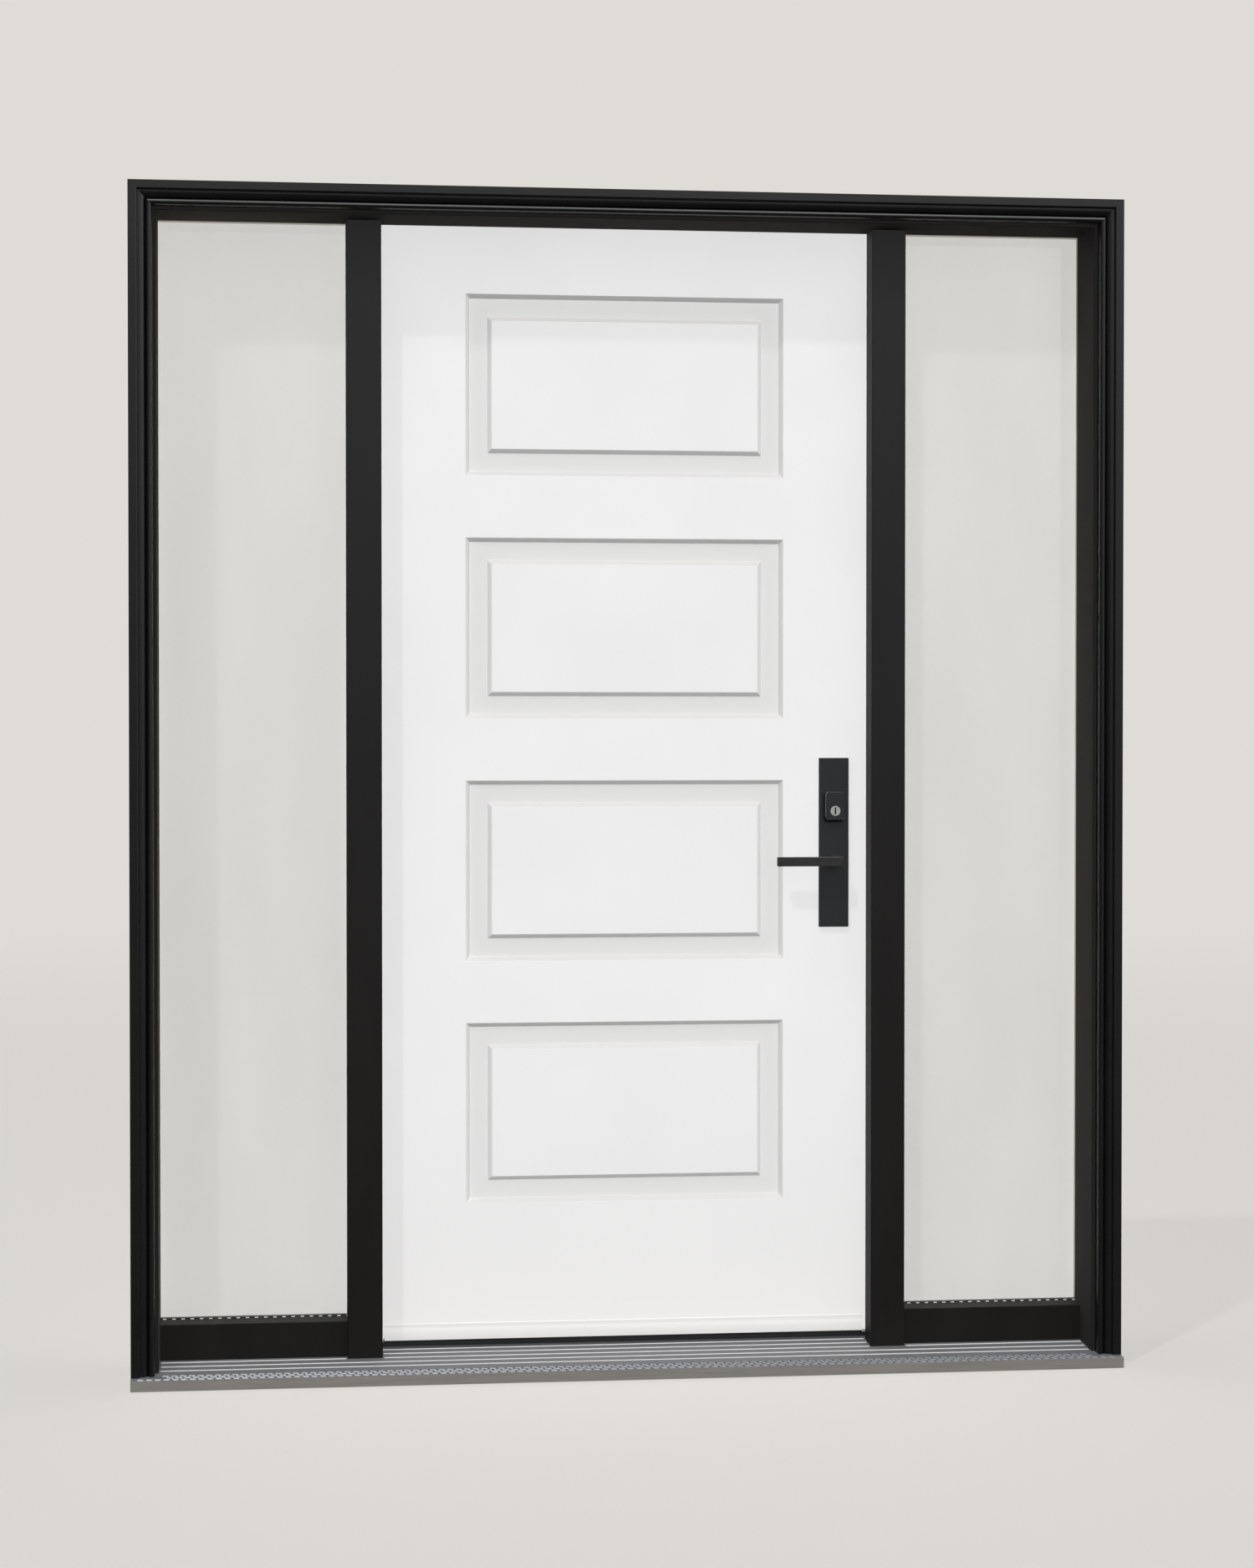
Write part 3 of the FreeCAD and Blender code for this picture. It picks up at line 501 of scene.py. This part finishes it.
# Glass spacers
# A beige coated bar runs round between the panes of each unit. Its thin top ends level with the head, and its
# foot is covered with black sealant, in which pale stitches show at even steps.
spacer_beige = new_finish("spacer_beige", srgb(200, 193, 179), roughness=0.5, shine=0.3)
spacer_grain = grain(spacer_beige, size=0.0007)
tint(spacer_beige, spacer_grain, srgb(192, 185, 171), srgb(208, 201, 187))
sealant_height = 0.012
stitch_height = 0.0098
stitch_depth = 0.0004
stitch_pitch = 0.0165
stitch_share = 0.36
spacer_low, spacer_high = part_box("left_glass_spacer")
sealant_top = spacer_low.z + sealant_height
stitch_top = spacer_low.z + stitch_height
stitch_back = spacer_low.y + stitch_depth
spacer_tree = spacer_beige.node_tree
in_sealant = work_out(spacer_tree, "LESS_THAN", place_along(spacer_beige, "Z"), sealant_top)
overlay(spacer_beige, in_sealant, srgb(14, 14, 14))
stitch_count = work_out(spacer_tree, "DIVIDE", place_along(spacer_beige, "X"), stitch_pitch)
stitch_run = work_out(spacer_tree, "LESS_THAN", work_out(spacer_tree, "FRACT", stitch_count), stitch_share)
stitch_face = work_out(spacer_tree, "LESS_THAN", place_along(spacer_beige, "Y"), stitch_back)
stitch_line = work_out(spacer_tree, "LESS_THAN", place_along(spacer_beige, "Z"), stitch_top)
stitches = work_out(
    spacer_tree, "MULTIPLY", stitch_line, work_out(spacer_tree, "MULTIPLY", stitch_run, stitch_face)
)
overlay(spacer_beige, stitches, srgb(222, 221, 216))
dull(spacer_beige, spacer_grain, low=0.42, high=0.6)
spacer_nodes = ["left_glass_spacer", "right_glass_spacer"]
coat(spacer_nodes, spacer_beige)
spacer_middle = (spacer_low.z + spacer_high.z) / 2


def under_top_bar(face):
    """Whether a face looks down from the upper half of a spacer."""
    return face.normal.z < -facing_limit and face.calc_center_median().z > spacer_middle


for name in spacer_nodes:
    spacer = copy_node(name, "fitted")
    top_bar_low = select_faces(spacer, under_top_bar)[-1].calc_center_median().z
    bpy.ops.transform.translate(value=(0, 0, head_low - top_bar_low))
    bpy.ops.object.mode_set(mode="OBJECT")
    finish_copy(spacer, name, "frame")


# Seals
# Foam filled weatherstrips sit on the stops round the door, and a finned seal hangs under the slab.
# Both are black rubber with a dull, faintly pitted skin.
seal_black = new_finish("seal_black", srgb(26, 26, 27), roughness=0.8, shine=0.3)
seal_pits = grain(seal_black, size=0.0015)
tint(seal_black, seal_pits, srgb(20, 20, 21), srgb(34, 34, 34))
dull(seal_black, seal_pits, low=0.7, high=0.9)
emboss(seal_black, seal_pits, depth=0.0001)
coat(["weatherstrips", "sweep_seal"], seal_black)


# Door slab
# Two pressed steel skins with four raised panels each, over stiles, rails and a foam core.
# It is sprayed with a satin white enamel with a slight orange peel, and painted darker as shade at its foot,
# in its recesses and on its upward faces.
skin_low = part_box("outside_skin")[0]
slab_foot = skin_low.z
slab_front = skin_low.y
slab_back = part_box("inside_skin")[1].y
slab_middle = (slab_front + slab_back) / 2
slab_half_depth = (slab_back - slab_front) / 2
panel_depth = 0.0095
door_white = new_finish("door_white", srgb(232, 232, 232), roughness=0.42, shine=0.15)
peel = grain(door_white, size=0.0035, detail=2)
enamel_clouds = grain(door_white, size=0.25, detail=2)
tint(door_white, enamel_clouds, srgb(230, 230, 230), srgb(234, 234, 234))
slab_tree = door_white.node_tree
# The slab is painted darker towards its foot as shade.
foot_shade_height = 0.45
foot_shade_top = slab_foot + foot_shade_height
foot_shade = spread(door_white, place_along(door_white, "Z"), 1, 0, start=slab_foot, end=foot_shade_top)
overlay(door_white, foot_shade, srgb(226, 225, 224))
from_middle = work_out(
    slab_tree, "ABSOLUTE", work_out(slab_tree, "SUBTRACT", place_along(door_white, "Y"), slab_middle)
)
# The pressed panels' channels and bevels are painted darker as shade, deeper ones more.
recess_shade = spread(door_white, from_middle, 1, 0, start=slab_half_depth - panel_depth, end=slab_half_depth)
overlay(door_white, recess_shade, srgb(215, 215, 214))
# Faces that look upwards are painted darker as shade.
shade_start_tilt, shade_full_tilt = 0.15, 0.6
upward_shade = spread(door_white, place_along(door_white, "Z", "Normal"), 0, 1, start=shade_start_tilt, end=shade_full_tilt)
overlay(door_white, upward_shade, srgb(208, 207, 206))
dull(door_white, peel, low=0.36, high=0.48)
emboss(door_white, peel, depth=0.00003)
coat(
    ["outside_skin", "inside_skin", "hinge_stile", "lock_stile", "top_rail", "bottom_rail"], door_white
)
press_radius = 0.0007
press_segments = 3
panel_margin = 0.03
for skin_name in ("outside_skin", "inside_skin"):
    skin = copy_node(skin_name, "pressed")
    ease_edges(skin, press_radius, press_segments, margin=panel_margin)
    finish_copy(skin, skin_name, "door")

core_foam = new_finish("core_foam", srgb(222, 210, 172), roughness=0.9, shine=0.2)
foam_cells = grain(core_foam, size=0.002)
tint(core_foam, foam_cells, srgb(208, 194, 152), srgb(231, 220, 186))
emboss(core_foam, foam_cells, depth=0.0004)
coat(["door_core"], core_foam)


# Sweep
# A white extruded cap clipped under the slab, whose front lip sheds water past the threshold.
# It is smooth through-coloured plastic with fine drawing lines along its length.
sweep_white = new_finish("sweep_white", srgb(221, 220, 218), roughness=0.4, shine=0.2)
sweep_lines = grain(sweep_white, size=0.0008, stretch=(300, 1, 1))
tint(sweep_white, sweep_lines, srgb(218, 217, 215), srgb(224, 223, 221))
dull(sweep_white, sweep_lines, low=0.3, high=0.45)
coat(["sweep_carrier"], sweep_white)
eased_copies(["sweep_carrier"], "door", width=0.0003)


# Hinges
# Three steel butt hinges with five knuckles and a loose headed pin, let flush into post and slab.
# They are powder coated black, which is a little pebbled.
hinge_black = new_finish("hinge_black", srgb(38, 39, 40), roughness=0.45, shine=0.45)
powder = grain(hinge_black, size=0.0008)
tint(hinge_black, powder, srgb(32, 33, 34), srgb(46, 47, 48))
dull(hinge_black, powder, low=0.36, high=0.55)
emboss(hinge_black, powder, depth=0.00008)
coat(["hinge_frame_leaves", "hinge_door_leaves", "hinge_pins"], hinge_black)
eased_copies(["hinge_pins"], "frame", width=0.0008, segments=3)

screw_sides = 20
screw_head_radius = 0.0040
screw_foot_radius = 0.0022
screw_depth = 0.0019
screw_sink = 0.0001
cross_length = 0.0044
cross_width = 0.0011
cross_depth = 0.0011
seat_room = 0.00015


def cut_away(piece, cutter):
    """Take one solid out of another, and drop the cutter."""
    bpy.ops.object.select_all(action="DESELECT")
    bpy.context.view_layer.objects.active = piece
    piece.select_set(True)
    cut = piece.modifiers.new("cut", "BOOLEAN")
    cut.operation = "DIFFERENCE"
    cut.solver = "EXACT"
    cut.object = cutter
    bpy.ops.object.modifier_apply(modifier="cut")
    bpy.data.objects.remove(cutter)


def add_cone(low_radius, high_radius, low_z, high_z):
    """A countersink shape that stands on the origin's axis."""
    bpy.ops.object.select_all(action="DESELECT")
    bpy.ops.mesh.primitive_cone_add(
        vertices=screw_sides, radius1=low_radius, radius2=high_radius, depth=high_z - low_z,
        location=(0, 0, (low_z + high_z) / 2),
    )
    return bpy.context.object


def add_screw():
    """A countersunk head that faces up at the origin, with a cross cut into it."""
    head = add_cone(screw_foot_radius, screw_head_radius, -screw_depth - screw_sink, -screw_sink)
    for length, width in ((cross_length, cross_width), (cross_width, cross_length)):
        bpy.ops.object.select_all(action="DESELECT")
        bpy.ops.mesh.primitive_cube_add(size=1, location=(0, 0, -screw_sink))
        bar = bpy.context.object
        bpy.ops.transform.resize(value=(length, width, 2 * cross_depth))
        cut_away(head, bar)
    return head


def put_at(template, spots, tilt, turn):
    """Copies of a solid at several spots, tilted from Z and turned about Z, joined into one."""
    bpy.ops.object.select_all(action="DESELECT")
    copies = []
    for spot in spots:
        one = template.copy()
        one.data = template.data.copy()
        bpy.context.collection.objects.link(one)
        one.rotation_euler = (0, tilt, turn)
        one.location = spot
        one.select_set(True)
        copies.append(one)
    bpy.context.view_layer.objects.active = copies[0]
    bpy.ops.object.transform_apply(location=True, rotation=True, scale=True)
    bpy.ops.object.join()
    bpy.data.objects.remove(template)
    return bpy.context.object


def screw_down(node_name, body, spots, finish, tilt, turn=0.0):
    """Countersink a plate at the given spots of its face and set screws in it."""
    plate = copy_node(node_name, "drilled")
    seat_slope = (screw_head_radius - screw_foot_radius) / screw_depth
    seat_low = -screw_depth - screw_sink - seat_room
    seat_high = screw_depth
    seat = add_cone(
        screw_foot_radius + seat_room, screw_foot_radius + seat_room + seat_slope * (seat_high - seat_low),
        seat_low, seat_high,
    )
    cut_away(plate, put_at(seat, spots, tilt, turn))
    finish_copy(plate, node_name, body)
    screws = put_at(add_screw(), spots, tilt, turn)
    screws.name = f"{node_name}_screws"
    screws.data.materials.clear()
    screws.data.materials.append(finish)
    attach(screws, body)


faces_right = math.radians(90)
faces_left = math.radians(-90)
hinge_feet = (0.3013, 1.0523, 1.8033)
screw_places = ((0.141, 0.014), (0.153, 0.038), (0.153, 0.062), (0.141, 0.086))
frame_leaf_face = -0.462
door_leaf_face = -0.457
frame_spots = [(frame_leaf_face, y, foot + rise) for foot in hinge_feet for y, rise in screw_places]
door_spots = [(door_leaf_face, y, foot + rise) for foot in hinge_feet for y, rise in screw_places]
screw_down("hinge_frame_leaves", "frame", frame_spots, hinge_black, faces_right)
screw_down("hinge_door_leaves", "door", door_spots, hinge_black, faces_left)


# Lock set
# Plates on both faces, a housing for the key cylinder, levers on one spindle and a thumb turn, machined from
# solid bar and finished in fine matt black. The key plug is nickel, and the bolts and edge plates are steel.
lock_black = new_finish("lock_black", srgb(31, 33, 35), roughness=0.45, shine=0.25)
lock_powder = grain(lock_black, size=0.0006)
tint(lock_black, lock_powder, srgb(27, 29, 31), srgb(35, 37, 39))
dull(lock_black, lock_powder, low=0.4, high=0.52)
emboss(lock_black, lock_powder, depth=0.00004)
coat(["outside_plate", "inside_plate", "cylinder_housing", "thumb_turn"], lock_black)
eased_copies(["outside_plate", "inside_plate"], "door", width=0.0003)
eased_copies(["thumb_turn"], "key", width=0.0004)

lever_black = new_finish("lever_black", srgb(36, 37, 36), roughness=0.4, shine=0.3)
lever_rub = grain(lever_black, size=0.008, stretch=(4, 1, 1), detail=2)
tint(lever_black, lever_rub, srgb(34, 35, 34), srgb(38, 39, 38))
dull(lever_black, lever_rub, low=0.34, high=0.46)
coat(["outside_lever", "inside_lever"], lever_black)
eased_copies(["outside_lever", "inside_lever"], "lever", width=0.0006)

# The housing's left and lower edges get a lighter finish, a painted highlight.
edge_highlight = new_finish("edge_highlight", srgb(92, 94, 95), roughness=0.4, shine=0.3)
highlight_grain = grain(edge_highlight, size=0.002, stretch=(1, 1, 4))
tint(edge_highlight, highlight_grain, srgb(78, 80, 81), srgb(106, 108, 109))
dull(edge_highlight, highlight_grain, low=0.35, high=0.5)
housing = copy_node("cylinder_housing", "eased")
housing_low, housing_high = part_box("cylinder_housing")
housing_ease = 0.0006
corner_cut = 0.0035
lit_from, lit_to = -0.95, -0.3
bpy.ops.object.mode_set(mode="EDIT")
bpy.ops.mesh.select_all(action="DESELECT")
mesh = bmesh.from_edit_mesh(housing.data)
for edge in mesh.edges:
    ends = [vertex.co for vertex in edge.verts]
    low = all(end.z < housing_low.z + corner_cut for end in ends)
    at_corner = all(min(end.x - housing_low.x, housing_high.x - end.x) < merge_distance for end in ends)
    edge.select_set(low and at_corner and abs(ends[0].y - ends[1].y) > corner_cut)
mesh.select_flush_mode()
bmesh.update_edit_mesh(housing.data)
bpy.ops.mesh.bevel(offset=corner_cut, segments=1)
bpy.ops.object.mode_set(mode="OBJECT")
ease_edges(housing, housing_ease, segments=2)
housing.data.materials.append(edge_highlight)
for face in housing.data.polygons:
    left_edge = lit_from < face.normal.x < lit_to
    low_edge = lit_from < face.normal.z < lit_to
    if face.normal.y < lit_to and (left_edge or low_edge):
        face.material_index = 1
finish_copy(housing, "cylinder_housing", "door")

key_nickel = new_finish("key_nickel", srgb(156, 160, 155), roughness=0.4, metallic=0.35)
turning = grain(key_nickel, size=0.0005)
tint(key_nickel, turning, srgb(148, 152, 147), srgb(166, 170, 165))
plug_low, plug_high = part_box("key_plug")
plug_middle = (plug_low + plug_high) / 2
plug_face_depth = 0.0004
# Everything behind the plug's face, the keyway's inside, is painted dark as shade.
keyway_start = plug_low.y + plug_face_depth
keyway_shade = work_out(key_nickel.node_tree, "GREATER_THAN", place_along(key_nickel, "Y"), keyway_start)
overlay(key_nickel, keyway_shade, srgb(16, 16, 16))
dull(key_nickel, turning, low=0.34, high=0.48)
coat(["key_plug"], key_nickel)
mouth_size = (0.0026, 0.008, 0.0128)
plug = copy_node("key_plug", "cut")
bpy.ops.object.select_all(action="DESELECT")
bpy.ops.mesh.primitive_cube_add(size=1, location=(plug_middle.x, plug_low.y, plug_middle.z))
mouth = bpy.context.object
bpy.ops.transform.resize(value=mouth_size)
cut_away(plug, mouth)
finish_copy(plug, "key_plug", "key")

lock_steel = new_finish("lock_steel", srgb(172, 172, 170), roughness=0.35, metallic=0.9)
brushing = grain(lock_steel, size=0.0004, stretch=(1, 1, 200))
tint(lock_steel, brushing, srgb(158, 158, 156), srgb(186, 186, 184))
dull(lock_steel, brushing, low=0.28, high=0.45)
emboss(lock_steel, brushing, depth=0.00004)
coat(["lock_edge_plate", "lock_bolts", "strike_plate", "lever_spindle"], lock_steel)
strike_face = 0.462
edge_face = 0.45583
edge_lean = math.radians(-3)
plate_screw_heights = (0.842, 1.063)
strike_spots = [(strike_face, slab_middle, z) for z in plate_screw_heights]
edge_spots = [(edge_face, slab_middle, z) for z in plate_screw_heights]
screw_down("strike_plate", "frame", strike_spots, lock_steel, faces_left)
screw_down("lock_edge_plate", "door", edge_spots, lock_steel, faces_right, edge_lean)


# Studio floor
# A wide pale floor that melts into the background, so that only the unit's own shadow shows on it.
backdrop_colour = srgb(223, 220, 215)
floor_corners = 64
floor_radius = 14.0
floor_clear_radius = 5.0
floor_drop = 0.001
floor_own_light = 0.77
floor_sheen_share = 0.1
bpy.ops.object.select_all(action="DESELECT")
bpy.ops.mesh.primitive_circle_add(
    vertices=floor_corners, radius=floor_radius, fill_type="NGON", location=(0, 0, -floor_drop)
)
floor = bpy.context.object
floor.name = "studio_floor"
floor_paint = bpy.data.materials.new("floor_paint")
floor_paint.use_nodes = True
floor_tree = floor_paint.node_tree
floor_tree.nodes.remove(floor_tree.nodes["Principled BSDF"])
floor_glow = floor_tree.nodes.new("ShaderNodeEmission")
floor_glow.inputs["Color"].default_value = backdrop_colour
floor_glow.inputs["Strength"].default_value = floor_own_light
floor_matt = floor_tree.nodes.new("ShaderNodeBsdfDiffuse")
floor_matt.inputs["Color"].default_value = srgb(171, 169, 165)
floor_seen = floor_tree.nodes.new("ShaderNodeAddShader")
floor_tree.links.new(floor_glow.outputs["Emission"], floor_seen.inputs[0])
floor_tree.links.new(floor_matt.outputs["BSDF"], floor_seen.inputs[1])
floor_bounce = floor_tree.nodes.new("ShaderNodeBsdfDiffuse")
floor_bounce.inputs["Color"].default_value = srgb(78, 77, 75)


def seen_directly(tree, sheen_share):
    """One for what the camera sees, straight or through glass, a share for sheen, and nought for light."""
    path = tree.nodes.new("ShaderNodeLightPath")
    in_sheen = work_out(tree, "MULTIPLY", path.outputs["Is Glossy Ray"], sheen_share)
    beyond = work_out(tree, "MAXIMUM", in_sheen, path.outputs["Is Transmission Ray"])
    return work_out(tree, "MAXIMUM", path.outputs["Is Camera Ray"], beyond)


floor_choice = mix_shaders(
    floor_tree,
    seen_directly(floor_tree, floor_sheen_share),
    floor_bounce.outputs["BSDF"],
    floor_seen.outputs["Shader"],
)
floor_place = floor_tree.nodes.new("ShaderNodeTexCoord")
floor_distance = floor_tree.nodes.new("ShaderNodeVectorMath")
floor_distance.operation = "LENGTH"
floor_tree.links.new(floor_place.outputs["Object"], floor_distance.inputs[0])
floor_edge = spread(
    floor_paint, floor_distance.outputs["Value"], 0, 1,
    start=floor_clear_radius, end=floor_radius, course="SMOOTHSTEP",
)
floor_gone = floor_tree.nodes.new("ShaderNodeBsdfTransparent")
floor_fade = mix_shaders(floor_tree, floor_edge, floor_choice, floor_gone.outputs["BSDF"])
floor_tree.links.new(floor_fade, floor_tree.nodes["Material Output"].inputs["Surface"])
floor.data.materials.append(floor_paint)


# Studio light
# Two broad fill lamps, before the unit and behind it, light both faces evenly from a little above.
# A soft lamp high on the left throws the shadow of the head and the left post over the slab.
sky_low = 0.3
sky_high = 0.12
sheen_level = 0.23
sheen_rise = 1.8
sheen_turn = 1.6
sheen_dark = 0.06
ceiling_edge = 0.12
ceiling_glow = 4.4
fill_rise_deg = 23.0
fill_turn_deg = 6.0
fill_strength = 2.90
fill_angle_deg = 16.0
lamp_direction = (0.72, 1.0, -1.43)
lamp_strength = 0.46
lamp_angle_deg = 2.0
lamp_distance = 4
white = (1, 1, 1, 1)
world = bpy.data.worlds.new("studio")
bpy.context.scene.world = world
world.use_nodes = True
world_tree = world.node_tree
upwards = place_along(world, "Z", "Generated")
surround = world_tree.nodes["Background"]
surround.inputs["Color"].default_value = white
sky = spread(world, upwards, sky_low, sky_high, start=0, end=1)
world_tree.links.new(sky, surround.inputs["Strength"])
backdrop = world_tree.nodes.new("ShaderNodeBackground")
backdrop.inputs["Color"].default_value = backdrop_colour

# What a sheen picks up: dim at the floor and on the left, brighter with height and to the right.
sheen_height = work_out(world_tree, "MULTIPLY_ADD", upwards, sheen_rise, sheen_level)
sheen_side = work_out(world_tree, "MULTIPLY_ADD", place_along(world, "X", "Generated"), sheen_turn, 1)
sheen_wall = work_out(
    world_tree,
    "MULTIPLY",
    work_out(world_tree, "MAXIMUM", sheen_height, sheen_dark),
    work_out(world_tree, "MAXIMUM", sheen_side, sheen_dark),
)
ceiling = spread(world, upwards, 0, ceiling_glow, start=ceiling_edge, end=1, course="SMOOTHSTEP")
sheen = world_tree.nodes.new("ShaderNodeBackground")
sheen.inputs["Color"].default_value = white
world_tree.links.new(work_out(world_tree, "ADD", sheen_wall, ceiling), sheen.inputs["Strength"])
in_sheen = world_tree.nodes.new("ShaderNodeLightPath").outputs["Is Glossy Ray"]
world_light = mix_shaders(
    world_tree, in_sheen, surround.outputs["Background"], sheen.outputs["Background"]
)
world_choice = mix_shaders(
    world_tree, seen_directly(world_tree, 0), world_light, backdrop.outputs["Background"]
)
world_tree.links.new(world_choice, world_tree.nodes["World Output"].inputs["Surface"])


def add_lamp(name, direction, strength, angle_deg):
    """A lamp far away whose light travels in the given direction."""
    bpy.ops.object.light_add(type="SUN", location=[-lamp_distance * along for along in direction])
    lamp = bpy.context.object
    lamp.name = name
    lamp.data.energy = strength
    lamp.data.angle = math.radians(angle_deg)
    lamp.rotation_euler = (
        math.atan2(math.hypot(direction[0], direction[1]), -direction[2]),
        0,
        math.atan2(-direction[0], direction[1]),
    )
    return lamp


add_lamp("high_lamp", lamp_direction, lamp_strength, lamp_angle_deg)

# The fills leave out the floor, and only the etched panes and the cylinder housing stop the front one.
fill_blockers = bpy.data.collections.new("fill_blockers")
for blocker in (nodes["left_inner_pane"], nodes["right_inner_pane"], housing):
    fill_blockers.objects.link(blocker)
fill_receivers = bpy.data.collections.new("fill_receivers")
fill_receivers.objects.link(floor)
fill_receivers.collection_objects[0].light_linking.link_state = "EXCLUDE"
for fill_name, way in (("front_fill", 1), ("back_fill", -1)):
    fill_direction = (
        -way * math.tan(math.radians(fill_turn_deg)), way, -math.tan(math.radians(fill_rise_deg))
    )
    fill = add_lamp(fill_name, fill_direction, fill_strength, fill_angle_deg)
    fill.visible_glossy = False
    fill.light_linking.receiver_collection = fill_receivers
    if fill_name == "front_fill":
        fill.light_linking.blocker_collection = fill_blockers


# Camera
# It stands 5.5 m off, left of the middle and at chest height, and looks a little down and to the right.
camera_place = (-0.6628, -5.5138, 1.1587)
camera_tilt_deg = 89.013
camera_turn_deg = -6.738
bpy.ops.object.camera_add(location=camera_place)
camera = bpy.context.object
camera.rotation_euler = (math.radians(camera_tilt_deg), 0, math.radians(camera_turn_deg))
camera.data.sensor_width = 36.0
camera.data.lens = 71.06
bpy.context.scene.camera = camera
bpy.context.scene.view_settings.view_transform = "Standard"
